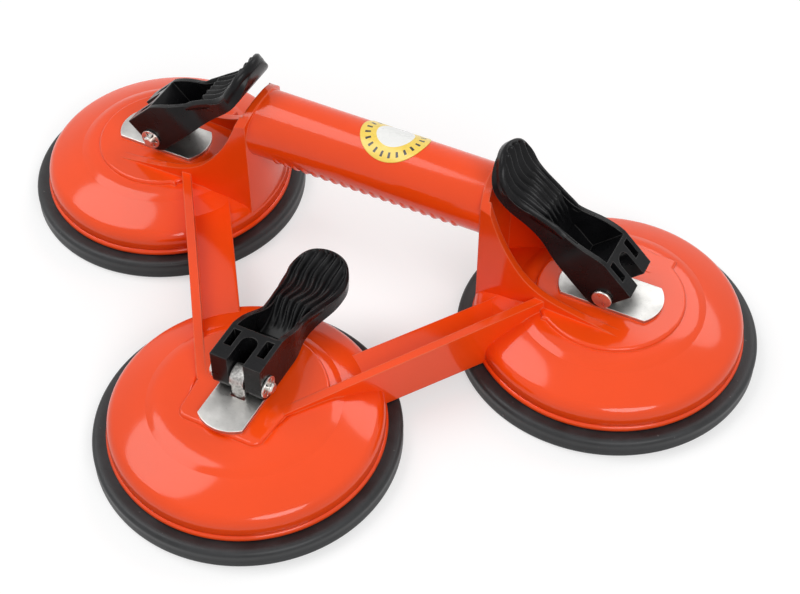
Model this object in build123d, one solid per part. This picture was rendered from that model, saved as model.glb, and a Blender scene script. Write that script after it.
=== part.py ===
from build123d import *
import math
import os

# Vacuum lifter with three suction cups: two cups behind, one in front, joined by one die-cast frame.
# Millimetres, +Z up. The origin lies on the floor under the middle of the object.
# +X runs along the handle, and the front cup lies towards -Y.

# Layout of the cups
cup_span = 204.0            # between the axes of the two rear cups
cup_depth = 107.0           # from the rear cups' line to the front cup's axis

# Rubber pad
pad_dia = 118.0
pad_edge = 8.0              # thickness of the ledge that carries the casting
pad_bevel = 1.2
pad_lip_width = 11.0        # flat sealing ring on the underside
pad_free_centre = 6.4       # top of the pad's centre with the lever released
pad_centre_thk = 5.4
pad_boss_dia = 54.0

# Die-cast domes
rim_dia = 104.8
rim_wall_height = 4.6
crown_top = 25.5            # flat top of the dome
crown_flat_dia = 40.0
shell = 3.0
boss_dia = 20.0
boss_depth = 6.0
stem_clearance = 0.08

# Raised decks under the wear plates
deck_top = 27.0
deck_soft_edge = 1.2
deck_radius = 32.0
front_deck_half = 18.8
front_deck_nose = 20.0
rear_deck_out = 17.0
rear_deck_near = 23.5
rear_deck_far = 28.0
rear_deck_radius = 29.0

# Scoops that carry the handle over the rear cups
scoop_wall = 3.0
scoop_rim_top = 75.0
scoop_half = 19.5
scoop_half_end = 14.0
scoop_tail = 18.0

# Handle bar
bar_dia = 28.0
bar_axis_z = 55.0
grip_notch_dia = 4.0
grip_notch_pitch = 4.4
grip_notch_depth = 0.8
grip_notches = 19

# Arms between the front cup and the scoops
arm_angle = 34.8            # away from the +Y direction
arm_width = 18.4
arm_start_back = 2.7        # the arm's outer corner lies this far in front of the front cup's axis
arm_wall = 3.5
arm_web_top = 20.5
arm_web_thk = 3.0
arm_web_end = 24.0
arm_lip_end = 30.5
arm_foot = 8.6
arm_ramp = 20.0

# Lever mechanism
pin_dia = 4.5
lever_nose = 3.8            # pin axis to the lever's flat front face
cam_rise = 2.1              # lift for each radian that the lever is turned down
cam_gap = 0.15
front_tilt = 0.0            # lever angle above the horizontal, as it is stored
rear_tilt = 45.0
released_tilt = 90.0

# Wear plate
plate_thk = 1.5
plate_half_width = 9.5
plate_reach = 20.7
plate_corner = 17.0
plate_slot_clearance = 0.3

# Stem with its disc
disc_dia = 48.0
disc_thk = 2.5
collar_dia = 16.0
collar_thk = 2.0
stem_dia = 9.0
tongue_thk = 5.6
shoulder_drop = 9.4         # pin axis to the shoulder under the tongue

# Lever
lever_width = 21.0
lever_top = 11.5            # top of the block above the pin axis
lever_reach = 69.0          # pin axis to the tip
block_reach = 12.6
paddle_radius = 12.4
neck_half = 8.8
slot_half = 3.4
slot_reach = 9.5
wall_thk = 2.0
floor_thk = 2.5
rim_thk = 2.4
groove_count = 6
groove_depth = 2.2
groove_wave = 0.9
groove_wave_length = 19.0
pin_clearance = 0.05

# Pin head and push-on washer
head_dia = 8.0
head_thk = 1.2
washer_dia = 8.6
washer_thk = 0.7
washer_teeth = 6
pin_end = 2.2               # pin standing out of the washer
side_play = 0.15

# Round label on the handle
label_dia = 35.0
label_edge_points = 16
label_thk = 0.3
label_tilt = 32.0
label_x = 4.0

rim_r = rim_dia / 2
pin_r = pin_dia / 2
plate_top = deck_top + plate_thk
rear_y = cup_depth / 2
rear_x = cup_span / 2
cam_toe = lever_nose + cam_rise * math.pi / 2
pin_to_disc = plate_top + cam_gap + lever_nose - pad_free_centre

cups = {
    "front": {"place": (0.0, -rear_y), "heading": 90.0, "tilt": front_tilt},
    "left": {"place": (-rear_x, rear_y), "heading": 0.0, "tilt": rear_tilt},
    "right": {"place": (rear_x, rear_y), "heading": 180.0, "tilt": rear_tilt},
}


def lift_at(tilt):
    """Height that the cam has lifted the stem when the lever is at this angle."""
    return cam_rise * math.radians(released_tilt - tilt)


def turned(outline):
    """Solid of revolution about Z from an outline of (radius, height)."""
    return revolve(Plane.XZ * make_face(outline), Axis.Z, 360)


def side_prism(outline, half):
    """Prism of a side outline (x, z), as wide as half on both sides of the XZ plane."""
    return extrude(Plane.XZ * make_face(outline), half, both=True)


def plan_prism(sketch, low, high):
    return Pos(0, 0, low) * extrude(sketch, high - low)


# Frame casting

def dome_outline(radius, top, flat_dia, foot):
    """Closed half section of a dome: upright wall, round shoulder and a shallow crown."""
    wall_top = foot + rim_wall_height
    crown = Spline(
        (radius, wall_top),
        (radius * 0.94, wall_top + (top - wall_top) * 0.36),
        (radius * 0.72, wall_top + (top - wall_top) * 0.80),
        (flat_dia / 2, top),
        tangents=[(0, 1), (-1, 0)],
    )
    rest = Polyline((flat_dia / 2, top), (0, top), (0, foot), (radius, foot), (radius, wall_top))
    return crown + rest


def dome_solid():
    return turned(dome_outline(rim_r, crown_top, crown_flat_dia, pad_edge))


def dome_hollow():
    inside = turned(dome_outline(rim_r - shell, crown_top - shell, crown_flat_dia, pad_edge))
    below = Pos(0, 0, pad_edge / 2) * Cylinder(rim_r - shell, pad_edge)
    guide = Pos(0, 0, crown_top - shell - boss_depth / 2) * Cylinder(boss_dia / 2, boss_depth)
    return inside + below - guide


def softened_deck(sketch):
    deck = plan_prism(sketch, crown_top - shell + 0.5, deck_top)
    return fillet(deck.edges().group_by(Axis.Z)[-1], deck_soft_edge)


def front_deck():
    corner_y = -arm_start_back
    run = arm_run_to_deck_edge()
    side = math.radians(arm_angle)
    meet = (front_deck_half + run * math.sin(side), corner_y + run * math.cos(side))
    left_meet = (-meet[0], meet[1])
    edge = Polyline(
        meet,
        (front_deck_half, corner_y),
        (front_deck_half - 1.6, -front_deck_nose),
        (1.6 - front_deck_half, -front_deck_nose),
        (-front_deck_half, corner_y),
        left_meet,
    )
    back = ThreePointArc(left_meet, (0, deck_radius), meet)
    sketch = make_face(edge + back)
    nose = sketch.vertices().group_by(Axis.Y)[0]
    return softened_deck(fillet(nose, 4.0))


def arm_run_to_deck_edge():
    """Distance along an arm's outer line from its corner to the deck's round back edge."""
    side = math.radians(arm_angle)
    along = front_deck_half * math.sin(side) - arm_start_back * math.cos(side)
    off = front_deck_half**2 + arm_start_back**2 - deck_radius**2
    return -along + math.sqrt(along**2 - off)


def rear_deck():
    """Deck of the left rear cup, with its wider strip on the far side."""
    long_side = rear_deck_out + 19.0
    wide_side = rear_deck_near + rear_deck_far
    strip = Pos(long_side / 2 - rear_deck_out, (rear_deck_far - rear_deck_near) / 2)
    return softened_deck(strip * Rectangle(long_side, wide_side)) + softened_deck(Circle(rear_deck_radius))


def scoop_plan(inset):
    """U-shaped plan of the scoop, open outwards, closed by the dome's own rim circle."""
    tail = -scoop_tail - 4 * inset
    side = [
        (tail, scoop_half + 1.5 - inset),
        (5, scoop_half - inset),
        (25, scoop_half - 1 - inset),
        (37, scoop_half - 3 - inset),
        (rim_r + 1, scoop_half_end - inset),
    ]
    far = Spline(*side)
    near = Spline(*[(x, -y) for x, y in side])
    ends = Line(side[0], (tail, -side[0][1])) + Line(side[-1], (rim_r + 1, -side[-1][1]))
    return make_face(far + near + ends) & Circle(rim_r - inset)


def scoop_rim_outline():
    """Side view of the scoop: its rim sweeps up from the deck to the top of the end wall."""
    rim = Spline(
        (-scoop_tail, deck_top - 0.5),
        (10, 29.9),
        (20, 32.2),
        (28, 35.8),
        (36.5, 44.0),
        (44, 57.0),
        (rim_r - 1.9, scoop_rim_top),
        tangents=[(1, 0.05), (0.38, 1)],
    )
    rest = Polyline(
        (rim_r - 1.9, scoop_rim_top),
        (rim_r + 2, scoop_rim_top),
        (rim_r + 2, pad_edge),
        (-scoop_tail, pad_edge),
        (-scoop_tail, deck_top - 0.5),
    )
    return rim + rest


def scoop_hollow():
    return plan_prism(scoop_plan(scoop_wall), 0, scoop_rim_top + 10)


def scoop():
    walls = plan_prism(scoop_plan(0), pad_edge, scoop_rim_top + 5) & side_prism(scoop_rim_outline(), 40)
    return walls - scoop_hollow()


def arm():
    """Left arm: a channel with a tall outer wall, a flat web and a low inner wall."""
    length = (cup_depth + arm_start_back - scoop_half + 6) / math.cos(math.radians(arm_angle))
    flat = length - arm_ramp
    web = Polyline(
        (0, arm_web_top - arm_web_thk),
        (flat, arm_web_top - arm_web_thk),
        (length, arm_web_end - arm_web_thk),
        (length, arm_web_end),
        (flat, arm_web_top),
        (0, arm_web_top),
        close=True,
    )
    outer = Polyline((0, arm_foot), (length, arm_foot), (length, arm_lip_end), (0, deck_top), close=True)
    inner = Polyline((0, arm_foot), (length, arm_foot), (length, arm_web_top), (0, arm_web_top), close=True)
    turn = Rot(0, 0, 90 + arm_angle)
    strips = [(web, 0, arm_width), (outer, 0, arm_wall), (inner, arm_width - arm_web_thk, arm_width)]
    solid = Part()
    for outline, start, stop in strips:
        solid += Pos(0, -start, 0) * extrude(Plane.XZ * make_face(outline), stop - start, dir=(0, -1, 0))
    corner = Pos(-front_deck_half, -rear_y - arm_start_back, 0)
    return corner * turn * solid


def handle_bar():
    reach = rear_x - rim_r + 2.2
    bar = Rot(0, 90, 0) * Cylinder(bar_dia / 2, 2 * reach)
    first = -grip_notch_pitch * (grip_notches - 1) / 2
    drop = bar_dia / 2 + grip_notch_dia / 2 - grip_notch_depth
    for index in range(grip_notches):
        notch = Rot(90, 0, 0) * Cylinder(grip_notch_dia / 2, bar_dia)
        bar -= Pos(first + index * grip_notch_pitch, 0, -drop) * notch
    return Pos(0, rear_y, bar_axis_z) * bar


def frame_casting():
    left = Pos(-rear_x, rear_y, 0)
    left_side = left * (dome_solid() + rear_deck() + scoop()) + (arm() - left * scoop_hollow())
    middle = Pos(0, -rear_y, 0) * (dome_solid() + front_deck())
    casting = left_side + mirror(left_side, Plane.YZ) + middle + handle_bar()
    bore_r = stem_dia / 2 + stem_clearance
    for cup in cups.values():
        at = Pos(*cup["place"], 0)
        casting -= at * dome_hollow()
        casting -= at * Pos(0, 0, deck_top / 2) * Cylinder(bore_r, deck_top + 2)
    return casting


# Pad, disc and stem, wear plate

def vacuum_pad(lift):
    """Rubber disc whose middle is drawn up by the lift of the stem."""
    outer = pad_dia / 2
    lip = outer - pad_lip_width
    inner = pad_boss_dia / 2
    top = pad_free_centre + lift
    under = top - pad_centre_thk
    outline = Polyline(
        (0, under),
        (inner - 3, under),
        (lip, 0),
        (outer - pad_bevel, 0),
        (outer, pad_bevel),
        (outer, pad_edge - pad_bevel / 2),
        (outer - pad_bevel / 2, pad_edge),
        (rim_r - shell - 1, pad_edge),
        (inner, top),
        (0, top),
        close=True,
    )
    return turned(outline)


def pad_core():
    """Disc, collar, round stem and flat tongue in one piece; the pin axis is at the origin."""
    disc = Pos(0, 0, disc_thk / 2 - pin_to_disc) * Cylinder(disc_dia / 2, disc_thk)
    collar = Pos(0, 0, disc_thk + collar_thk / 2 - pin_to_disc) * Cylinder(collar_dia / 2, collar_thk)
    stem_height = pin_to_disc - disc_thk
    stem = Pos(0, 0, -stem_height / 2) * Cylinder(stem_dia / 2, stem_height)
    head = Rot(90, 0, 0) * Cylinder(stem_dia / 2, tongue_thk)
    spare = stem_dia
    for side in (-1, 1):
        flat = Pos(0, side * (tongue_thk / 2 + spare / 2), -shoulder_drop / 2)
        stem -= flat * Box(2 * spare, spare, shoulder_drop)
    eye = Rot(90, 0, 0) * Cylinder(pin_r, 2 * tongue_thk)
    return disc + collar + stem + head - eye


def wear_plate():
    """Steel strip with rounded ends and a slot for the tongue, lying on the deck."""
    upper = Line((-plate_corner, plate_half_width), (plate_corner, plate_half_width))
    lower = Line((-plate_corner, -plate_half_width), (plate_corner, -plate_half_width))
    ends = [
        ThreePointArc(
            (side * plate_corner, -plate_half_width),
            (side * plate_reach, 0),
            (side * plate_corner, plate_half_width),
        )
        for side in (-1, 1)
    ]
    sketch = make_face(upper + lower + ends[0] + ends[1])
    sketch -= Rectangle(
        stem_dia + 2 * plate_slot_clearance, tongue_thk + 2 * plate_slot_clearance
    )
    return plan_prism(sketch, deck_top, plate_top)


# Lever

def cam_point(turn):
    """Point of the cam that meets the plate when the lever is turned down by this angle (radians)."""
    height = lever_nose + cam_rise * turn
    x = -height * math.cos(turn) + cam_rise * math.sin(turn)
    z = -height * math.sin(turn) - cam_rise * math.cos(turn)
    return (x, z)


paddle_centre = lever_reach - paddle_radius


def lever_top_line():
    """Top edge of the side walls, from the block's rear corner over the thin waist to the tip."""
    return Spline(
        (block_reach, lever_top),
        (21, 8.0),
        (31, 3.2),
        (41, 0.4),
        (52, -2.0),
        (60, -0.8),
        (66, 1.4),
        tangents=[(1, -0.25), (1, 0.25)],
    )


def lever_side():
    cam = Spline(
        *[cam_point(math.pi / 2 * step / 6) for step in range(7)],
        tangents=[(0, -1), (1, 0)],
    )
    front = Polyline(cam_point(0), (-lever_nose, lever_top), (block_reach, lever_top))
    under = Line((cam_rise, -cam_toe), (50, -cam_toe))
    tip = Spline(
        (50, -cam_toe),
        (60, -6.0),
        (67, -2.2),
        (lever_reach, 0.6),
        (66, 1.4),
        tangents=[(1, 0), (-1, -0.25)],
    )
    return cam + front + lever_top_line() + under + tip


def lever_half_widths():
    """Plan stations (x, half width) of the lever between the block and the paddle."""
    half = lever_width / 2
    return [(19, half), (31, neck_half), (42, neck_half + 1.3), (paddle_centre, paddle_radius)]


def half_width_at(x):
    """Half width of the lever along its length, by straight stretches between the stations."""
    stations = lever_half_widths()
    for (x0, y0), (x1, y1) in zip(stations, stations[1:]):
        if x <= x1:
            share = max(0.0, (x - x0) / (x1 - x0))
            return y0 + share * (y1 - y0)
    return paddle_radius


def lever_plan(inset, front):
    """Plan outline, narrowed by inset on each side."""
    stations = [(x, y - inset) for x, y in lever_half_widths()]
    upper = Spline(*stations, tangents=[(1, 0), (1, 0)])
    lower = Spline(*[(x, -y) for x, y in stations], tangents=[(1, 0), (1, 0)])
    half = stations[0][1]
    ends = Polyline(stations[0], (front, half), (front, -half), (stations[0][0], -half))
    radius = paddle_radius - inset
    tip = ThreePointArc((paddle_centre, radius), (paddle_centre + radius, 0), (paddle_centre, -radius))
    return make_face(upper + lower + ends + tip)


def groove_line(index, x, shift):
    """Side position of one groove edge: fanned from the neck to the paddle, with a wave."""
    spread = (index - (groove_count - 1) / 2) / (groove_count / 2)
    room = half_width_at(x) - rim_thk
    pitch = 2 * room / groove_count
    swing = groove_wave * math.sin(2 * math.pi * (x - 34) / groove_wave_length)
    return spread * room + swing + shift * pitch * 0.32


def groove_end(index):
    """Grooves stop short of the paddle's round edge."""
    room = paddle_radius - rim_thk
    spread = abs(index - (groove_count - 1) / 2) / (groove_count / 2) * room + 1.0
    return paddle_centre + math.sqrt(room**2 - spread**2) * 0.96


def groove_prisms():
    start = 29.0
    steps = 7
    solid = Part()
    for index in range(groove_count):
        stop = groove_end(index)
        xs = [start + (stop - start) * step / steps for step in range(steps + 1)]
        left = [(x, groove_line(index, x, 1)) for x in xs]
        right = [(x, groove_line(index, x, -1)) for x in xs]
        outline = Spline(*left) + Spline(*right) + Line(left[0], right[0])
        middle = (left[-1][1] + right[-1][1]) / 2
        cap = ThreePointArc(left[-1], (stop + (left[-1][1] - right[-1][1]) / 2, middle), right[-1])
        solid += plan_prism(make_face(outline + cap), -20, 20)
    return solid


def above_line(points, tangents):
    """Everything above a curve in the side view, wide enough to cut the whole lever."""
    curve = Spline(*points, tangents=tangents)
    high = 20
    box = Polyline(points[-1], (points[-1][0], high), (points[0][0], high), points[0])
    return side_prism(curve + box, lever_width)


def lever():
    """Moulded lever about the pin axis: cam, fork for the tongue, pockets and waved grip."""
    body = side_prism(lever_side(), lever_width) & plan_prism(lever_plan(0, -lever_nose - 1), -20, 20)
    pocket_front = slot_reach + wall_thk + 1
    floor = floor_thk - cam_toe
    pocket_floor = Polyline(
        (pocket_front, floor), (24, floor), (40, 0.9), (40, 20), (pocket_front, 20), close=True
    )
    pocket = side_prism(pocket_floor, lever_width) & plan_prism(lever_plan(wall_thk, 0), -20, 20)
    body -= pocket
    groove_floor = [(29, 2.0), (41, 0.4 - groove_depth), (52, -2.0 - groove_depth), (60, -0.8 - groove_depth),
                    (lever_reach, 2.0 - groove_depth)]
    body -= groove_prisms() & above_line(groove_floor, [(1, -0.4), (1, 0.4)])
    slot = Pos(slot_reach - slot_half - 15, 0, 0) * Box(30, 2 * slot_half, 60)
    slot += Pos(slot_reach - slot_half, 0, 0) * Cylinder(slot_half, 60)
    body -= slot
    side_pocket_depth = lever_top - pin_r - wall_thk
    for side in (-1, 1):
        middle = (slot_half + lever_width / 2) / 2
        pit = Pos(6.5, side * middle, lever_top) * Box(8, 3.2, 2 * side_pocket_depth)
        body -= pit
    body -= Rot(90, 0, 0) * Cylinder(pin_r + pin_clearance, 2 * lever_width)
    return body


# Pin and washer

def pivot_pin():
    cheek = lever_width / 2 + side_play
    far_end = -(cheek + washer_thk + pin_end)
    length = cheek - far_end
    shank = Pos(0, (cheek + far_end) / 2, 0) * Rot(90, 0, 0) * Cylinder(pin_r, length)
    shank = chamfer(shank.edges().group_by(Axis.Y)[0], 0.6)
    head = Pos(0, cheek + head_thk / 2, 0) * Rot(90, 0, 0) * Cylinder(head_dia / 2, head_thk)
    head = fillet(head.edges().group_by(Axis.Y)[-1], 0.5)
    return shank + head


def retaining_washer():
    """Push-on washer with teeth round its bore."""
    cheek = lever_width / 2 + side_play
    sketch = Circle(washer_dia / 2) - Circle(pin_r)
    for index in range(washer_teeth):
        notch = Pos(pin_r + 0.6, 0) * Rectangle(1.5, 0.8)
        sketch -= Rot(0, 0, 360 / washer_teeth * index) * notch
    solid = extrude(sketch, washer_thk)
    return Pos(0, -cheek, 0) * Rot(90, 0, 0) * solid


def handle_label():
    """Round label wrapped on the bar, turned a little to the front."""
    radius = bar_dia / 2
    span = label_dia / 2
    edge = []
    for step in range(label_edge_points):
        turn = 2 * math.pi * step / label_edge_points
        wrapped = span * math.sin(turn) / radius
        edge.append((span * math.cos(turn), radius * math.sin(wrapped)))
    punch = plan_prism(make_face(Spline(*edge, periodic=True)), 0, bar_dia)
    ring = Cylinder(radius + label_thk, label_dia * 1.5) - Cylinder(radius, label_dia * 1.5)
    patch = (Rot(0, 90, 0) * ring) & punch
    return Pos(label_x, rear_y, bar_axis_z) * Rot(label_tilt, 0, 0) * patch


def pin_place(cup):
    height = plate_top + cam_gap + lever_nose + lift_at(cup["tilt"])
    return Pos(*cup["place"], height) * Rot(0, 0, cup["heading"])


def build():
    parts = {"frame_casting": frame_casting(), "handle_label": handle_label()}
    core, plate, handle, pin, washer = pad_core(), wear_plate(), lever(), pivot_pin(), retaining_washer()
    for name, cup in cups.items():
        pivot = pin_place(cup)
        ground = Pos(*cup["place"], 0) * Rot(0, 0, cup["heading"])
        parts[name + "_vacuum_pad"] = ground * vacuum_pad(lift_at(cup["tilt"]))
        parts[name + "_wear_plate"] = ground * plate
        parts[name + "_pad_core"] = pivot * core
        parts[name + "_pivot_pin"] = pivot * pin
        parts[name + "_retaining_washer"] = pivot * washer
        parts[name + "_lever"] = pivot * Rot(0, -cup["tilt"], 0) * handle
    return parts


os.makedirs("parts", exist_ok=True)
for node, solid in build().items():
    export_step(solid, "parts/" + node + ".step")
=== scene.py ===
import bmesh
import bpy
import math
from mathutils import Matrix, Vector


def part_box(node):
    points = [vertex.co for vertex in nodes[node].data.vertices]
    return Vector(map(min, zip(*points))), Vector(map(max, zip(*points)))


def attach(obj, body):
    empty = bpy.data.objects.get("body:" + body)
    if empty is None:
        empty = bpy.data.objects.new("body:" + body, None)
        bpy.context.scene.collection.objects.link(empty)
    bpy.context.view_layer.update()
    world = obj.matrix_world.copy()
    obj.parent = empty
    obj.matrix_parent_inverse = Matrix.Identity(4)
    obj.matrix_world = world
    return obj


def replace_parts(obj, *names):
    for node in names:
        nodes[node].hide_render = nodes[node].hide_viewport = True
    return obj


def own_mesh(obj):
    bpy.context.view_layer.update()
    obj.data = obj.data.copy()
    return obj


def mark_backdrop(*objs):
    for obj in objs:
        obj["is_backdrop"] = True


# Looks of a vacuum lifter with three cups. Metres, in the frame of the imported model.

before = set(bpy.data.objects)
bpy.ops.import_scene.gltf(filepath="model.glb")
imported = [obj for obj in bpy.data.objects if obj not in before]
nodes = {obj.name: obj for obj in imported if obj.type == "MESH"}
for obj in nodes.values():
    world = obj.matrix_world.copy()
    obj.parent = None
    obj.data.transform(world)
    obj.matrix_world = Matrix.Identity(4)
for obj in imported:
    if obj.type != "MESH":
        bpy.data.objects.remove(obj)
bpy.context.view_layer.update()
cup_names = ("front", "left", "right")

# Camera, as the photo was taken

photo_width = 800
camera_place = (0.21298, -0.35008, 0.47232)
camera_azimuth = 30.10
camera_elevation = 47.46
camera_roll = -2.466
focal_pixels = 1553.5
sensor_width = 36.0
camera_shift_x = 0.08

# Lights and floor

world_strength = 0.35
lamps = {
    "key": {"place": (-0.7, -0.1, 1.1), "size": (0.9, 0.9), "power": 7.0},
    "fill": {"place": (0.8, -0.7, 0.8), "size": (0.8, 0.6), "power": 7.5},
    "back": {"place": (0.2, 1.0, 0.9), "size": (1.0, 0.5), "power": 3.5},
}
floor_half = 6.0
floor_glow = 0.51           # share of the floor's white that shadows don't take away
far_floor_glow = 0.82
glow_growth = (0.5, 3.0)    # distances between which the glow grows

# Colours

paint_colour = (0.93, 0.070, 0.004)
# painted highlight colour for the casting's edges
paint_edge_highlight = (1.0, 0.24, 0.11)
rubber_colour = (0.013, 0.0135, 0.0145)
dust_colour = (0.20, 0.20, 0.20)
lever_colour = (0.0045, 0.0045, 0.005)
# painted highlight colour for the levers' edges
lever_edge_highlight = (0.10, 0.095, 0.092)
steel_colour = (0.62, 0.61, 0.59)
# painted reflection: reddish tone of the orange casting seen in the pins
reddish_reflection_colour = (0.60, 0.42, 0.34)
# painted highlight colour for the wear plates' edges
plate_edge_highlight = (0.92, 0.91, 0.89)
# painted highlight colour for the stem heads' edges
stem_edge_highlight = (0.9, 0.89, 0.87)
# painted highlight colour for the pins' edges
pin_edge_highlight = (0.93, 0.92, 0.90)
label_white = (0.86, 0.86, 0.84)
label_yellow = (0.90, 0.64, 0.09)
label_black = (0.02, 0.02, 0.02)
floor_colour = (0.52, 0.52, 0.52)

# Painted edge highlights, gloss and relief of the surfaces

gloss_range = (0.3, 0.7)    # part of a pattern over which the roughness changes
edge_range = (0.80, 0.985)  # closeness of the rounded normal on an edge that takes a painted highlight and on a plain surface
paint_highlight_share = 0.55           # how far the edges take the painted highlight colour
# how far the stem's edges take the painted highlight colour
stem_highlight_share = 0.7
orange_peel = 0.25          # against the paint's swell
rubber_grain = 0.5          # against the rubber's worn patches
brush_lines = (1, 12, 1)    # lines run along X: the pattern is finer across them

# Pads: the ring and the membrane both ride on the frame; the membrane rises to the stem's underside

pad_radius = 0.059
pad_ledge = 0.008
pad_inner = 0.048
pad_foot_radius = 0.0516    # the casting stands on the ledge inside this radius
centre_thickness = 0.0054
disc_radius = 0.027
lathe_steps = 160

# Outer side of a pad from the floor up: distance in from the pad's radius, and height

pad_lip = ((0.0022, 0.0), (0.0009, 0.00015), (0.0002, 0.0006), (0.0, 0.0013))
pad_side = ((0.0003, 0.0030), (0.0003, 0.0048), (0.0, 0.0062))
pad_edge = ((0.0001, 0.0067), (0.0004, 0.0073), (0.0010, 0.0078), (0.0018, pad_ledge))

# Shallow step in the ledge: distance in from the pad's radius, and depth below the ledge

pad_step = ((0.0030, 0.0001), (0.0042, 0.00025), (0.0054, 0.0004), (0.0064, 0.0004), (0.0070, 0.0002))

# Membrane of a pad

membrane_steps = 10
membrane_overlap = 0.0006   # its border runs into the ring
membrane_inset = 0.003      # its thick middle is this much smaller below than above
membrane_lowest = 0.0004    # border over the floor
membrane_drop = 0.0008      # border below the ledge

# Bead round a dome's foot: distance out from the rim, and height over the pad's ledge

rim_radius = 0.0524
bead_depth = 0.0006
bead_top = 0.0024
bead_front = ((0.0006, 0.0), (0.0009, 0.0003), (0.0010, 0.0010))
bead_crown = ((0.0009, 0.0015), (0.0006, 0.0020), (0.0001, 0.0023))

# Outer skin of a dome

skin_radius = 0.05255
skin_foot = 0.001           # over the pad's ledge
skin_wall_top = 0.0137
skin_shoulder = 0.0058
skin_top = 0.02552
skin_flat_radius = 0.0195
skin_depth = 0.0012
shoulder_steps = 12
crown_steps = 20

# Handle bar with its ribs and the walls round its ends

bar_radius = 0.014
bar_height = 0.055
bar_rib_count = 19
bar_rib_pitch = 0.0044
bar_rib_turn = math.radians(130)    # from the top of the bar towards the front
bar_rib_spread = math.radians(22)
bar_rib_rise = 0.0006
bar_rib_sink = 0.0006
bar_rib_share = 0.46        # half of a rib's width, as a share of the pitch
bar_rib_end = 0.00002       # what is left of a rib at its ends
bar_rib_rows = 8            # on each side of the rib's middle
bar_rib_sides = 4
end_wall_near = 0.0470      # the walls lie between these places along the bar
end_wall_far = 0.0610
end_wall_half = 0.0168
end_wall_rise = 0.0143
cutter_half = 0.03
cutter_height = 0.03
cutter_steps = 48
smooth_angle = math.radians(28)
flat_weight = 50            # how much large faces steer the shading of the casting

# Ribbed grip of the levers, in millimetres from the pin axis (along, across, up)

lever_headings = {"front": (90, 0), "left": (0, 45), "right": (180, 45)}    # heading and tilt in degrees
grip_top_line = (
    (12.6, 11.5),
    (21, 8.0),
    (31, 3.2),
    (41, 0.4),
    (52, -2.0),
    (60, -0.8),
    (66, 1.4),
    (70, 1.6),
)
grip_widths = ((19, 10.5), (31, 8.8), (42, 10.1), (56.6, 12.4))
grip_start = 24.5
pocket_floor = ((24, -4.6), (40, 0.9))      # slope that the ribs rise from, behind the block
pocket_wall = (1.5, 2.7)    # distances from the edge between which the wall falls to the floor
grip_centre = 56.6          # middle of the round end
grip_round = 12.55
grip_proud = 0.15           # stands out of the lever's side
grip_skirt = 2.4
grip_under = 1.0
grip_back = (0.95, 0.87)    # shares of the half width where the underside turns down
grip_clear = 0.12
grip_edge = 1.5
grip_edge_drop = 1.1
grip_rows = 100
grip_columns = 84
grip_straight = 0.66        # share of the rows before the round end
grip_end_turn = math.radians(88)
rib_number = 6.5
rib_height = 1.9
rib_start = 27.0
rib_growth = 8
rib_wave = 0.9
rib_wave_start = 34
rib_wave_length = 19.0
rib_fullness = 0.8          # power of the cosine: lower is fuller
rib_ends = (0.8, 2.2)       # distances from the edge between which the ribs rise
rim_share = 0.75            # height of the grip's rim, as a share of the ribs
rim_width = (0.9, 2.0)

# Label

label_radius = 0.014
label_thickness = 0.0003
label_x = 0.0073
label_turn = math.radians(-13)
label_white_share = 0.54
label_ticks = 22.0
label_tick_low = 0.70
label_tick_high = 0.86
label_tick_level = 0.55     # height of the wave over which a tick is printed
label_steps = 96
label_hole = 0.02           # share of the radius at which the film's middle is closed

# Rings of points from the label's underside over its edge to its top: share of its radius and thickness

label_under = ((label_hole, 0), (1, 0))
label_top = ((1, 1), (0.98, 1), (0.75, 1), (0.5, 1), (0.25, 1), (label_hole, 1))


# Places

def cup_centre(cup):
    """Point on the floor under the middle of a cup."""
    low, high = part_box(cup + "_pad_core")
    at = (low + high) / 2
    return Vector((at.x, at.y, 0))


cup_middles = {cup: cup_centre(cup) for cup in cup_names}
bar_y = cup_middles["left"].y


def on_bar(x, turn, radius):
    """Point about the handle bar's axis; turn runs from the top of the bar towards the front."""
    return Vector((x, bar_y - radius * math.sin(turn), bar_height + radius * math.cos(turn)))


# Sockets of the Mix node by number, because their names aren't unique

mix_share_in = 0
mix_colours_in = (6, 7)
mix_colour_out = 2


# Shader nodes; owner is a material or the world

def new_material(name):
    material = bpy.data.materials.new(name)
    material.use_nodes = True
    return material


def set_socket(owner, socket, value):
    """Links an output socket, or sets a plain value."""
    if isinstance(value, bpy.types.NodeSocket):
        owner.node_tree.links.new(value, socket)
    else:
        socket.default_value = value


def add_node(owner, kind, settings=None, inputs=None):
    """Adds a shader node; inputs may be plain values or the output sockets of other nodes."""
    node = owner.node_tree.nodes.new(kind)
    for key, value in (settings or {}).items():
        setattr(node, key, value)
    for key, value in (inputs or {}).items():
        set_socket(owner, node.inputs[key], value)
    return node


def object_place(owner, stretch=(1, 1, 1)):
    """Object coordinates in metres, scaled along each axis."""
    coordinates = add_node(owner, "ShaderNodeTexCoord")
    inputs = {"Vector": coordinates.outputs["Object"], "Scale": stretch}
    return add_node(owner, "ShaderNodeMapping", inputs=inputs).outputs["Vector"]


def noise(owner, place, scale, detail=3, roughness=0.5):
    inputs = {"Vector": place, "Scale": scale, "Detail": detail, "Roughness": roughness}
    return add_node(owner, "ShaderNodeTexNoise", inputs=inputs).outputs["Fac"]


def spread(owner, value, take, give=(0, 1)):
    """Maps a value from the range it takes to the range it gives, clamped."""
    inputs = {
        "Value": value,
        "From Min": take[0],
        "From Max": take[1],
        "To Min": give[0],
        "To Max": give[1],
    }
    return add_node(owner, "ShaderNodeMapRange", inputs=inputs).outputs["Result"]


def mixed(owner, share, first, second):
    """Mixes two colours, each a plain colour or an output socket."""
    node = add_node(owner, "ShaderNodeMix", settings={"data_type": "RGBA"})
    set_socket(owner, node.inputs[mix_share_in], share)
    for index, value in zip(mix_colours_in, (first, second)):
        set_socket(owner, node.inputs[index], (*value, 1) if isinstance(value, tuple) else value)
    return node.outputs[mix_colour_out]


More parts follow.
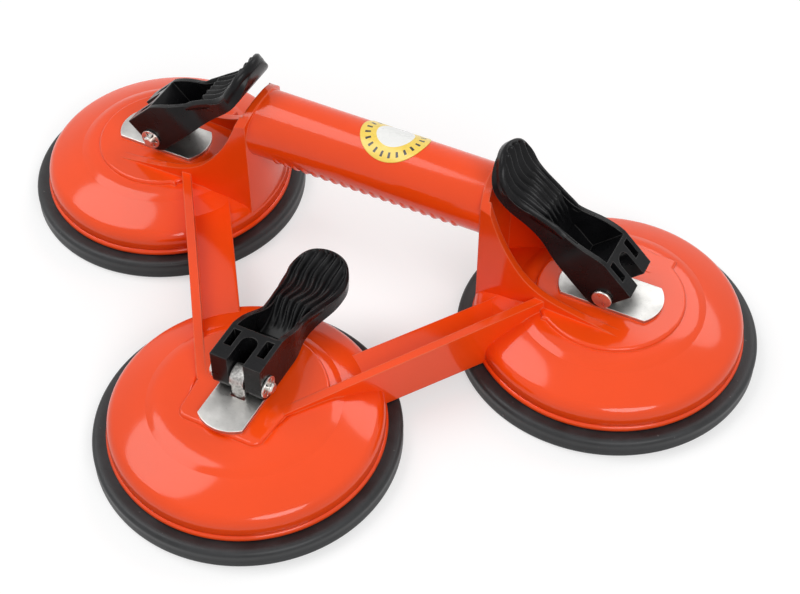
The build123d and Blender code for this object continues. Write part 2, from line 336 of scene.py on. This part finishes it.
def blended(owner, pattern, take, first, second, most=1):
    """Mixes two colours as a pattern runs through the range it takes, up to the share most."""
    return mixed(owner, spread(owner, pattern, take, give=(0, most)), first, second)


def shade(colour, share):
    return tuple(share * part for part in colour)


def maths(owner, operation, first, second=0.0):
    inputs = {0: first, 1: second}
    return add_node(owner, "ShaderNodeMath", {"operation": operation}, inputs).outputs["Value"]


def times(owner, first, second):
    return maths(owner, "MULTIPLY", first, second)


def vector_maths(owner, operation, *values):
    inputs = dict(enumerate(values))
    return add_node(owner, "ShaderNodeVectorMath", {"operation": operation}, inputs).outputs


def bump(owner, height, distance, strength, under=None):
    inputs = {"Height": height, "Distance": distance, "Strength": strength}
    if under is not None:
        inputs["Normal"] = under
    return add_node(owner, "ShaderNodeBump", inputs=inputs).outputs["Normal"]


def rounded_edges(owner, radius):
    """Normals that run softly round sharp corners, as on cast and moulded parts."""
    node = add_node(owner, "ShaderNodeBevel", settings={"samples": 6}, inputs={"Radius": radius})
    return node.outputs["Normal"]


def edge_share(owner, normal):
    """1 on sharp edges, where the rounded normal leaves the surface's own, and 0 elsewhere."""
    own = add_node(owner, "ShaderNodeNewGeometry").outputs["Normal"]
    closeness = vector_maths(owner, "DOT_PRODUCT", normal, own)["Value"]
    return spread(owner, closeness, take=edge_range, give=(1, 0))


def in_view(owner):
    """1 for rays that bring a surface to the camera, also by way of gloss or glass, else 0."""
    path = add_node(owner, "ShaderNodeLightPath").outputs
    seen = maths(owner, "MAXIMUM", path["Is Camera Ray"], path["Is Glossy Ray"])
    return maths(owner, "MAXIMUM", seen, path["Is Transmission Ray"])


def finish_shader(material, **values):
    """Sets shader inputs by name, with underscores for spaces; sockets are linked."""
    shader = material.node_tree.nodes["Principled BSDF"]
    for key, value in values.items():
        set_socket(material, shader.inputs[key.replace("_", " ")], value)
    return material


# Materials

def casting_paint():
    """Thick glossy paint on a die casting: slight orange peel, uneven cover, and a paler painted
    highlight on the edges.
    """
    material = new_material("casting_paint")
    place = object_place(material)
    cloudy = noise(material, place, scale=18, detail=4)
    colour = blended(material, cloudy, (0.35, 0.65), shade(paint_colour, 0.92), paint_colour)
    edges = rounded_edges(material, radius=0.0009)
    # painted highlight: the edges turn paler orange, where light would catch the rounded corners
    painted_edge_highlight = times(material, edge_share(material, edges), paint_highlight_share)
    colour = mixed(material, painted_edge_highlight, colour, paint_edge_highlight)
    peel = noise(material, place, scale=420, detail=2)
    swell = noise(material, place, scale=60, detail=2)
    height = maths(material, "ADD", times(material, peel, orange_peel), swell)
    gloss = spread(material, noise(material, place, scale=35), gloss_range, give=(0.30, 0.38))
    return finish_shader(
        material,
        Base_Color=colour,
        Roughness=gloss,
        Normal=bump(material, height, distance=0.0004, strength=0.3, under=edges),
        Coat_Weight=0.65,
        Coat_Roughness=0.10,
        Specular_IOR_Level=0.05,
    )


def pad_rubber():
    """Black rubber with mould grain, dust specks and paler patches of wear."""
    material = new_material("pad_rubber")
    place = object_place(material)
    patch_pattern = noise(material, place, scale=90, detail=5, roughness=0.65)
    colour = blended(material, patch_pattern, (0.4, 0.75), rubber_colour, shade(rubber_colour, 2.2))
    dust = noise(material, place, scale=700, detail=2, roughness=0.4)
    colour = blended(material, dust, (0.74, 0.80), colour, dust_colour, most=0.35)
    grain = noise(material, place, scale=1800)
    height = maths(material, "ADD", times(material, grain, rubber_grain), patch_pattern)
    return finish_shader(
        material,
        Base_Color=colour,
        Roughness=spread(material, patch_pattern, gloss_range, give=(0.40, 0.55)),
        Normal=bump(material, height, distance=0.0002, strength=0.35),
        Sheen_Weight=0.06,
        Sheen_Roughness=0.4,
        Specular_IOR_Level=0.38,
    )


def lever_plastic():
    """Black moulded plastic, smooth, with a thin grey painted highlight of patchy strength on its edges.
    """
    material = new_material("lever_plastic")
    place = object_place(material)
    cloudy = noise(material, place, scale=70)
    colour = blended(material, cloudy, (0.4, 0.7), lever_colour, shade(lever_colour, 2.0))
    edges = rounded_edges(material, radius=0.0006)
    # painted highlight: the edges turn grey where light would catch the rounded corners, stronger in
    # some patches than others
    highlight_strength = spread(material, noise(material, place, scale=240), (0.35, 0.65), give=(0.35, 0.9))
    colour = mixed(material, times(material, edge_share(material, edges), highlight_strength), colour, lever_edge_highlight)
    ripple = noise(material, place, scale=160, detail=2)
    uneven = noise(material, place, scale=110, detail=4)
    return finish_shader(
        material,
        Base_Color=colour,
        Roughness=spread(material, uneven, gloss_range, give=(0.20, 0.34)),
        Normal=bump(material, ripple, distance=0.0003, strength=0.25, under=edges),
        Specular_IOR_Level=0.15,
    )


def plate_steel():
    """Steel strip with fine brush lines and a bright painted highlight on its edges."""
    material = new_material("plate_steel")
    brushed = object_place(material, stretch=brush_lines)
    lines = noise(material, brushed, scale=500, detail=4, roughness=0.6)
    patch_pattern = noise(material, object_place(material), scale=120, detail=4)
    colour = blended(material, patch_pattern, (0.35, 0.65), shade(steel_colour, 0.70), steel_colour)
    edges = rounded_edges(material, radius=0.0004)
    return finish_shader(
        material,
        # painted highlight: the edges turn nearly white
        Base_Color=mixed(material, edge_share(material, edges), colour, plate_edge_highlight),
        Metallic=1.0,
        Roughness=spread(material, lines, gloss_range, give=(0.26, 0.44)),
        Normal=bump(material, lines, distance=0.0001, strength=0.4, under=edges),
    )


def stem_steel():
    """Rough bright stem head, ground on its flats, with a bright painted highlight on its edges."""
    material = new_material("stem_steel")
    rough = noise(material, object_place(material), scale=900, detail=5, roughness=0.7)
    colour = blended(material, rough, (0.35, 0.65), shade(steel_colour, 0.45), steel_colour)
    edges = rounded_edges(material, radius=0.0004)
    # painted highlight: the edges turn nearly white
    stem_highlight = times(material, edge_share(material, edges), stem_highlight_share)
    return finish_shader(
        material,
        Base_Color=mixed(material, stem_highlight, colour, stem_edge_highlight),
        Metallic=1.0,
        Roughness=spread(material, rough, gloss_range, give=(0.30, 0.46)),
        Normal=bump(material, rough, distance=0.0004, strength=0.6, under=edges),
    )


def pin_steel():
    """Turned steel with reddish patches of painted reflection of the orange casting, and a bright
    painted highlight on its edges.
    """
    material = new_material("pin_steel")
    place = object_place(material)
    patch_pattern = noise(material, place, scale=260, detail=4)
    # painted reflection: patches of reddish tone stand in for the orange casting reflected in the pin
    colour = blended(material, patch_pattern, (0.45, 0.66), steel_colour, reddish_reflection_colour, most=0.8)
    edges = rounded_edges(material, radius=0.0003)
    grain = noise(material, place, scale=700)
    return finish_shader(
        material,
        # painted highlight: the edges turn nearly white
        Base_Color=mixed(material, edge_share(material, edges), colour, pin_edge_highlight),
        Metallic=1.0,
        Roughness=spread(material, patch_pattern, gloss_range, give=(0.24, 0.36)),
        Normal=bump(material, grain, distance=0.0002, strength=0.4, under=edges),
    )


def label_print():
    """Printed film: a yellow ring round a white field, with plain ticks round the ring."""
    material = new_material("label")
    centre = on_bar(label_x, label_turn, bar_radius)
    place = add_node(material, "ShaderNodeTexCoord").outputs["Object"]
    offset = vector_maths(material, "SUBTRACT", place, tuple(centre))["Vector"]
    away = vector_maths(material, "LENGTH", offset)["Value"]
    parts = add_node(material, "ShaderNodeSeparateXYZ", inputs={0: offset}).outputs
    turn = maths(material, "ARCTAN2", parts["Y"], parts["X"])
    ring = maths(material, "GREATER_THAN", away, label_white_share * label_radius)
    colour = mixed(material, ring, label_white, label_yellow)
    wave = maths(material, "SINE", times(material, turn, label_ticks))
    tick = maths(material, "GREATER_THAN", wave, label_tick_level)
    inside = maths(material, "GREATER_THAN", away, label_tick_low * label_radius)
    outside = maths(material, "LESS_THAN", away, label_tick_high * label_radius)
    band = times(material, inside, outside)
    creases = noise(material, place, scale=300, detail=2)
    return finish_shader(
        material,
        Base_Color=mixed(material, times(material, tick, band), colour, label_black),
        Roughness=spread(material, noise(material, place, scale=200), gloss_range, give=(0.24, 0.34)),
        Normal=bump(material, creases, distance=0.0002, strength=0.2),
        Coat_Weight=0.3,
        Coat_Roughness=0.1,
    )


materials = {
    "casting_paint": casting_paint(),
    "label": label_print(),
    "pad_rubber": pad_rubber(),
    "plate_steel": plate_steel(),
    "stem_steel": stem_steel(),
    "pin_steel": pin_steel(),
    "lever_plastic": lever_plastic(),
}

node_slots = {"frame_casting": "casting_paint", "handle_label": "label"}
for cup in cup_names:
    node_slots[cup + "_vacuum_pad"] = "pad_rubber"
    node_slots[cup + "_wear_plate"] = "plate_steel"
    node_slots[cup + "_pad_core"] = "stem_steel"
    node_slots[cup + "_pivot_pin"] = "pin_steel"
    node_slots[cup + "_retaining_washer"] = "pin_steel"
    node_slots[cup + "_lever"] = "lever_plastic"

for name, slot in node_slots.items():
    for used in nodes[name].material_slots:
        used.material = materials[slot]


# Curves

def eased(share):
    """Runs from 0 to 1 with level ends."""
    return share * share * (3 - 2 * share)


def between(value, low, high):
    """0 below the range, 1 above it, eased in between."""
    return eased(min(1.0, max(0.0, (value - low) / (high - low))))


def through(points, x):
    """Height of a smooth curve through the points (cardinal spline) at x."""
    index = max(i for i in range(len(points) - 1) if i == 0 or points[i][0] <= x)
    (x0, y0), (x1, y1) = points[index], points[index + 1]

    def slope(i):
        before, after = points[max(i - 1, 0)], points[min(i + 1, len(points) - 1)]
        return (after[1] - before[1]) / (after[0] - before[0])

    gap = x1 - x0
    t = (x - x0) / gap
    start, stop = slope(index) * gap, slope(index + 1) * gap
    return (
        (2 * t**3 - 3 * t**2 + 1) * y0
        + (t**3 - 2 * t**2 + t) * start
        + (3 * t**2 - 2 * t**3) * y1
        + (t**3 - t**2) * stop
    )


# Meshes

def add_grid(mesh, rows, capped=True):
    """Faces between the points of each row and the next; each row runs round and closes."""
    made = [[mesh.verts.new(place) for place in row] for row in rows]
    count = len(made[0])
    for first, second in zip(made, made[1:]):
        for step in range(count):
            after = (step + 1) % count
            mesh.faces.new((first[step], second[step], second[after], first[after]))
    if capped:
        mesh.faces.new(made[0])
        mesh.faces.new(made[-1])


def lathed(outline, centre, capped=False):
    """Turned mesh from an outline of (radius, height), about an upright axis through centre."""
    rows = []
    for radius, height in outline:
        row = []
        for step in range(lathe_steps):
            turn = 2 * math.pi * step / lathe_steps
            row.append((centre.x + radius * math.cos(turn), centre.y + radius * math.sin(turn), height))
        rows.append(row)
    mesh = bmesh.new()
    add_grid(mesh, rows, capped)
    return mesh


def as_object(name, mesh):
    """Object with the mesh, its faces turned outwards."""
    bmesh.ops.recalc_face_normals(mesh, faces=mesh.faces)
    data = bpy.data.meshes.new(name)
    mesh.to_mesh(data)
    mesh.free()
    made = bpy.data.objects.new(name, data)
    bpy.context.scene.collection.objects.link(made)
    return made


def as_piece(name, mesh, slot, body="frame"):
    """Turns the mesh into a piece that rides on a body and takes a material slot's finish."""
    bmesh.ops.remove_doubles(mesh, verts=mesh.verts, dist=1e-7)
    piece = as_object(name, mesh)
    piece.data.shade_smooth()
    piece.data.materials.append(materials[slot])
    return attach(piece, body)


def apply_modifiers(piece):
    """Gives a piece the mesh that its modifiers make."""
    bpy.context.view_layer.update()
    made = piece.evaluated_get(bpy.context.evaluated_depsgraph_get())
    data = bpy.data.meshes.new_from_object(made)
    piece.modifiers.clear()
    piece.data = data


# Rubber pads

def pad_ring(cup):
    """Outer ring of a pad: sealing lip, bowed side, round edge and a ledge with a shallow step."""
    foot = (pad_inner, 0.0)
    outline = [foot]
    outline += [(pad_radius - inward, height) for inward, height in pad_lip + pad_side + pad_edge]
    outline += [(pad_radius - inward, pad_ledge - drop) for inward, drop in pad_step]
    outline += [(pad_foot_radius, pad_ledge), (pad_inner, pad_ledge), foot]
    mesh = lathed(outline, cup_middles[cup])
    return as_piece(cup + "_pad_ring", mesh, "pad_rubber")


def pad_membrane(cup):
    """Middle of a pad: thin at its border, thick under the disc, drawn up by the stem."""
    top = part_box(cup + "_pad_core")[0].z
    under = top - centre_thickness
    border = pad_inner + membrane_overlap
    below = []
    above = []
    for step in range(membrane_steps + 1):
        share = step / membrane_steps
        radius = disc_radius - membrane_inset + (border - disc_radius + membrane_inset) * share
        below.append((radius, under + (membrane_lowest - under) * eased(share)))
        radius = border + (disc_radius - border) * share
        height = pad_ledge - membrane_drop + (top - pad_ledge + membrane_drop) * eased(share)
        above.append((radius, height))
    centre = cup_middles[cup]
    mesh = lathed(below + above, centre, capped=True)
    piece = as_piece(cup + "_pad_membrane", mesh, "pad_rubber")
    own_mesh(piece)
    return piece


# Domes

def dome_bead(cup):
    """Small half-round bead that the casting has round each dome's foot."""
    back = rim_radius - bead_depth
    outline = [(back, pad_ledge)]
    outline += [(rim_radius + out, pad_ledge + height) for out, height in bead_front + bead_crown]
    outline += [(back, pad_ledge + bead_top), (back, pad_ledge)]
    mesh = lathed(outline, cup_middles[cup])
    return as_piece(cup + "_dome_bead", mesh, "casting_paint")


def dome_skin(cup):
    """Outer skin of a dome: upright wall, tight round shoulder and a shallow crown."""
    run = skin_radius - skin_flat_radius
    rise = skin_top - skin_wall_top
    crown = (run**2 + rise**2 - 2 * run * skin_shoulder) / (2 * (rise - skin_shoulder))
    join = math.atan2(crown - rise, run - skin_shoulder)
    outer = [(skin_radius, pad_ledge + skin_foot, 1, 0), (skin_radius, skin_wall_top, 1, 0)]
    arcs = (
        (skin_radius - skin_shoulder, skin_wall_top, skin_shoulder, 0, join, shoulder_steps),
        (skin_flat_radius, skin_top - crown, crown, join, math.pi / 2, crown_steps),
    )
    for centre_r, centre_z, radius, start, stop, steps in arcs:
        for step in range(1, steps + 1):
            turn = start + (stop - start) * step / steps
            across, upward = math.cos(turn), math.sin(turn)
            outer.append((centre_r + radius * across, centre_z + radius * upward, across, upward))
    outline = [(r, z) for r, z, across, upward in outer]
    for r, z, across, upward in reversed(outer):
        outline.append((r - skin_depth * across, z - skin_depth * upward))
    mesh = lathed(outline + outline[:1], cup_middles[cup])
    return as_piece(cup + "_dome_skin", mesh, "casting_paint")


# Handle bar

def grip_ribs():
    """Row of low rounded ribs along the lower front of the bar, for the fingers."""
    mesh = bmesh.new()
    for index in range(bar_rib_count):
        middle_x = (index - (bar_rib_count - 1) / 2) * bar_rib_pitch
        rows = []
        for step in range(-bar_rib_rows, bar_rib_rows + 1):
            share = step / bar_rib_rows
            turn = bar_rib_turn + share * bar_rib_spread
            crest = (bar_rib_rise + bar_rib_sink) * math.sqrt(max(0.0, 1 - share * share)) + bar_rib_end
            row = []
            for side in range(-bar_rib_sides, bar_rib_sides + 1):
                along = side / bar_rib_sides
                height = bar_radius - bar_rib_sink + crest * math.cos(along * math.pi / 2)
                row.append(on_bar(middle_x + along * bar_rib_pitch * bar_rib_share, turn, height))
            rows.append(row)
        add_grid(mesh, rows)
    return as_piece("handle_grip_ribs", mesh, "casting_paint")


def bar_label():
    """Thin round film wrapped on the bar."""
    rows = []
    for share, rise in label_under + label_top:
        row = []
        for step in range(label_steps):
            turn = 2 * math.pi * step / label_steps
            wrapped = share * label_radius * math.sin(turn) / bar_radius
            x = label_x + share * label_radius * math.cos(turn)
            row.append(on_bar(x, label_turn + wrapped, bar_radius + rise * label_thickness))
        rows.append(row)
    mesh = bmesh.new()
    add_grid(mesh, rows)
    piece = as_piece("bar_label", mesh, "label")
    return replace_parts(piece, "handle_label")


# Levers

def grip_half_width(x):
    if x < grip_centre:
        return through(grip_widths, x) + grip_proud
    return math.sqrt(grip_round**2 - (x - grip_centre) ** 2)


def grip_floor(x):
    """Middle of the grip without its ribs: the pocket's slope, then the lever's top line."""
    (x0, z0), (x1, z1) = pocket_floor
    return min(through(grip_top_line, x), z0 + (x - x0) * (z1 - z0) / (x1 - x0)) + grip_clear


def grip_height(x, y, half):
    """Top of the grip: side walls, the floor between them, fanned and waved ribs and a round edge."""
    room = half - abs(y) if x < grip_centre else grip_round - math.hypot(x - grip_centre, y)
    wall = through(grip_top_line, x) + grip_clear
    inside = between(room, *pocket_wall)
    swing = rib_wave * math.sin(2 * math.pi * (x - rib_wave_start) / rib_wave_length)
    fan = half if x < grip_centre else grip_round
    place = (y - swing * (1 - min(1.0, abs(y) / fan))) / fan
    crest = (0.5 + 0.5 * math.cos(math.pi * rib_number * place)) ** rib_fullness
    grown = between(x, rib_start, rib_start + rib_growth)
    rib = rib_height * crest * between(room, *rib_ends) * grown
    rim = rim_share * rib_height * grown * (1 - between(room, *rim_width))
    fall = max(0.0, 1 - room / grip_edge)
    return wall + (grip_floor(x) - wall) * inside + rib + rim - grip_edge_drop * fall**2


def grip_along(share):
    """Place along the grip of a row: even steps, then even turns round the end."""
    if share < grip_straight:
        return grip_start + (grip_centre - grip_start) * share / grip_straight
    turn = grip_end_turn * (share - grip_straight) / (1 - grip_straight)
    return grip_centre + grip_round * math.sin(turn)


def lever_grip(cup):
    """Ribbed upper side of a lever's grip, seated over its moulded grooves."""
    heading, tilt = (math.radians(angle) for angle in lever_headings[cup])
    low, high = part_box(cup + "_pivot_pin")
    pin = Vector((cup_middles[cup].x, cup_middles[cup].y, (low.z + high.z) / 2))
    turn = Matrix.Rotation(heading, 4, "Z") @ Matrix.Rotation(-tilt, 4, "Y")
    near, far = grip_back
    rows = []
    for step in range(grip_rows + 1):
        x = grip_along(step / grip_rows)
        half = grip_half_width(x)
        row = []
        for column in range(grip_columns + 1):
            y = half * math.sin(math.pi / 2 * (2 * column / grip_columns - 1))
            row.append((x, y, grip_height(x, y, half)))
        skirt = through(grip_top_line, x) - grip_skirt
        bottom = min(skirt, grip_floor(x) - grip_under)
        back = [(x, half, skirt), (x, half * near, skirt), (x, half * far, bottom)]
        row += back + [(x, -y, z) for x, y, z in reversed(back)]
        rows.append([pin + turn @ (Vector(place) / 1000) for place in row])
    mesh = bmesh.new()
    add_grid(mesh, rows)
    return as_piece(cup + "_lever_grip", mesh, "lever_plastic", cup + "_lever")


# Casting

def end_wall_cutter():
    """Two prisms over the bar's ends, hollowed below so that the walls keep a round top."""
    outline = [(cutter_half, cutter_height), (-cutter_half, cutter_height), (-cutter_half, 0.0)]
    for step in range(cutter_steps + 1):
        turn = math.pi * (1 - step / cutter_steps)
        outline.append((end_wall_half * math.cos(turn), end_wall_rise * math.sin(turn)))
    outline.append((cutter_half, 0.0))
    mesh = bmesh.new()
    for side in (-1, 1):
        rows = []
        for x in (end_wall_near, end_wall_far):
            rows.append([Vector((side * x, bar_y + y, bar_height + z)) for y, z in outline])
        add_grid(mesh, rows)
    return as_object("end_wall_cutter", mesh)


def trimmed_casting():
    """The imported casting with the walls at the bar's ends rounded down to the bar."""
    mesh = bmesh.new()
    mesh.from_mesh(nodes["frame_casting"].data)
    piece = as_piece("casting", mesh, "casting_paint")
    cutter = end_wall_cutter()
    cut = piece.modifiers.new("cut", "BOOLEAN")
    cut.operation = "DIFFERENCE"
    cut.solver = "EXACT"
    cut.object = cutter
    apply_modifiers(piece)
    bpy.data.objects.remove(cutter)
    data = piece.data
    data.materials.clear()
    data.materials.append(materials["casting_paint"])
    for name in ("custom_normal", "sharp_face", "sharp_edge"):
        if name in data.attributes:
            data.attributes.remove(data.attributes[name])
    data.shade_smooth()
    data.set_sharp_from_angle(angle=smooth_angle)
    flats = piece.modifiers.new("flats", "WEIGHTED_NORMAL")
    flats.keep_sharp = True
    flats.weight = flat_weight
    apply_modifiers(piece)
    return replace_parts(piece, "frame_casting")


# All the pieces

for cup in cup_names:
    for piece in (pad_ring(cup), pad_membrane(cup)):
        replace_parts(piece, cup + "_vacuum_pad")
trimmed_casting()
for cup in cup_names:
    dome_bead(cup)
    dome_skin(cup)
    lever_grip(cup)
grip_ribs()
bar_label()


# Floor, lights and camera

def floor_material():
    """Pale floor: part of its white is its own glow for the camera, so shadows on it stay light."""
    material = new_material("floor")
    place = object_place(material)
    tone = noise(material, place, scale=3, detail=2)
    away = vector_maths(material, "LENGTH", place)["Value"]
    glow = spread(material, away, glow_growth, give=(floor_glow, far_floor_glow))
    return finish_shader(
        material,
        Base_Color=blended(material, tone, (0.3, 0.7), shade(floor_colour, 0.985), floor_colour),
        Roughness=0.9,
        Specular_IOR_Level=0.1,
        Emission_Color=(1, 1, 1, 1),
        Emission_Strength=times(material, in_view(material), glow),
    )


def floor():
    mesh = bpy.data.meshes.new("floor")
    half = floor_half
    corners = [(-half, -half, 0), (half, -half, 0), (half, half, 0), (-half, half, 0)]
    mesh.from_pydata(corners, [], [(0, 1, 2, 3)])
    plane = bpy.data.objects.new("floor", mesh)
    plane.data.materials.append(floor_material())
    bpy.context.scene.collection.objects.link(plane)
    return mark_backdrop(plane)


def softbox(name, place, size, power):
    """Round area lamp that points at the middle of the floor."""
    lamp = bpy.data.lights.new(name, "AREA")
    lamp.shape = "ELLIPSE"
    lamp.size, lamp.size_y = size
    lamp.energy = power
    holder = bpy.data.objects.new(name, lamp)
    holder.location = place
    holder.rotation_euler = (-Vector(place)).to_track_quat("-Z", "Y").to_euler()
    bpy.context.scene.collection.objects.link(holder)


def studio_world():
    """Even light all round, which looks white where the camera sees it."""
    world = bpy.data.worlds.new("studio")
    world.use_nodes = True
    background = world.node_tree.nodes["Background"].inputs
    background["Color"].default_value = (1, 1, 1, 1)
    strength = spread(world, in_view(world), take=(0, 1), give=(world_strength, 1))
    set_socket(world, background["Strength"], strength)
    bpy.context.scene.world = world


def photo_camera():
    azimuth = math.radians(camera_azimuth)
    elevation = math.radians(camera_elevation)
    roll = math.radians(camera_roll)
    back = Vector(
        (
            math.sin(azimuth) * math.cos(elevation),
            -math.cos(azimuth) * math.cos(elevation),
            math.sin(elevation),
        )
    )
    level = Vector((math.cos(azimuth), math.sin(azimuth), 0))
    upright = back.cross(level)
    right = math.cos(roll) * level + math.sin(roll) * upright
    up = math.cos(roll) * upright - math.sin(roll) * level
    camera = bpy.data.objects.new("camera", bpy.data.cameras.new("camera"))
    turned = Matrix((right, up, back)).transposed().to_4x4()
    camera.matrix_world = Matrix.Translation(camera_place) @ turned
    camera.data.sensor_width = sensor_width
    camera.data.lens = focal_pixels * sensor_width / photo_width
    camera.data.shift_x = camera_shift_x
    bpy.context.scene.collection.objects.link(camera)
    bpy.context.scene.camera = camera


floor()
studio_world()
for name, lamp in lamps.items():
    softbox(name, **lamp)
photo_camera()
bpy.context.scene.view_settings.view_transform = "Standard"
